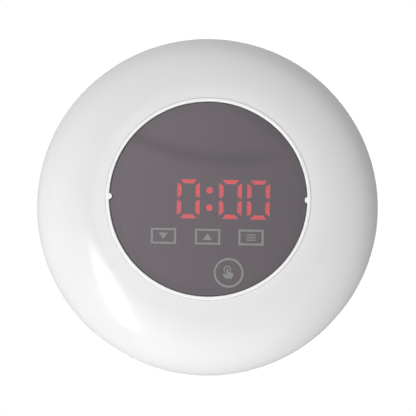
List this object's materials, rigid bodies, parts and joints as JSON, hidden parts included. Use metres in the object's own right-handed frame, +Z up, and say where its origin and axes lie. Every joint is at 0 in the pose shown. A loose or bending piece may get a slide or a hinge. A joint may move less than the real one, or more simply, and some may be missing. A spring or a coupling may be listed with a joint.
{
  "type": "gym round timer",
  "caption": "Round wall-hung interval timer: domed casing, dark mirror window with a red digital display and touch keys, battery bay behind.",
  "frame": {"origin": "midway between the two keyholes, on the casing's axis, at the plane of the flat back that faces the wall", "axes": "+Y from the window to the wall along the casing's axis, +X to the right of someone reading the display, +Z up"},
  "size_m": [0.174, 0.0419, 0.174],
  "materials": {
    "white_gloss": "high gloss moulded plastic",
    "white_satin": "fine satin moulded plastic",
    "ring_white": "bright gloss plastic trim",
    "window_smoke": "half-mirror smoked window",
    "gasket_foam": "closed-cell foam tape",
    "legend_ink": "grey printed ink",
    "display_black": "matt black moulding",
    "segment_lit": "glowing red light guide",
    "segment_dark": "unlit smoked light guide",
    "led_chip": "bare LED dice",
    "board_green": "solder-masked glass-epoxy board",
    "chip_black": "moulded epoxy",
    "tinned_metal": "tin or nickel plated",
    "screw_steel": "zinc-plated steel",
    "spring_steel": "spring steel wire",
    "can_aluminium": "aluminium can",
    "pad_rubber": "soft rubber",
    "cell_wrap": "printed metal wrap",
    "door_foam": "soft foam",
    "speaker_metal": "pressed steel, black",
    "speaker_paper": "pressed paper",
    "magnet_ferrite": "ferrite magnet in a steel cup",
    "switch_black": "black moulded plastic",
    "wire_red": "red wire sleeve",
    "wire_black": "black wire sleeve",
    "wire_grey": "grey wire sleeve",
    "ribbon_white": "flat cable laminate"
  },
  "bodies": {
    "case": {"front_shell": "white_gloss", "bezel_ring": "ring_white", "display_lens": "window_smoke", "lens_gasket": "gasket_foam", "key_legends": "legend_ink", "display_housing": "display_black", "lit_segments": "segment_lit", "unlit_segments": "segment_dark", "segment_leds": "led_chip", "display_substrate": "board_green", "display_pins": "tinned_metal", "front_board": "board_green", "board_screws": "screw_steel", "control_chip": "chip_black", "chip_leads": "tinned_metal", "capacitors": "can_aluminium", "touch_springs": "spring_steel", "rear_cover": "white_satin", "cover_screws": "screw_steel", "rubber_pads": "pad_rubber", "battery_cell_1": "cell_wrap", "battery_cell_2": "cell_wrap", "battery_cell_3": "cell_wrap", "battery_contacts": "tinned_metal", "battery_springs": "spring_steel", "speaker_gasket": "gasket_foam", "speaker_frame": "speaker_metal", "speaker_cone": "speaker_paper", "speaker_magnet": "magnet_ferrite", "speaker_clips": "screw_steel", "speaker_screws": "screw_steel", "switch_screws": "screw_steel", "charge_board_screws": "screw_steel", "power_switch_body": "switch_black", "charge_board": "board_green", "charging_socket": "tinned_metal", "socket_tongue": "switch_black", "battery_wire_black": "wire_black", "battery_wire_red": "wire_red", "speaker_wires": "wire_grey", "switch_wires": "wire_grey", "board_cable": "ribbon_white", "cable_plugs": "ribbon_white"},
    "door": {"battery_door": "white_satin", "door_foam": "door_foam"},
    "switch_knob": {"power_switch_knob": "switch_black"}
  },
  "joints": [
    {"name": "battery_door_hinge", "type": "hinge", "parent": "case", "child": "door", "pos_m": [0, -0.0016, -0.0056], "axis": [1, 0, 0], "range_deg": [0, 75]},
    {"name": "power_switch_slide", "type": "slide", "parent": "case", "child": "switch_knob", "axis": [1, 0, 0], "range_m": [0, 0.003]}
  ]
}
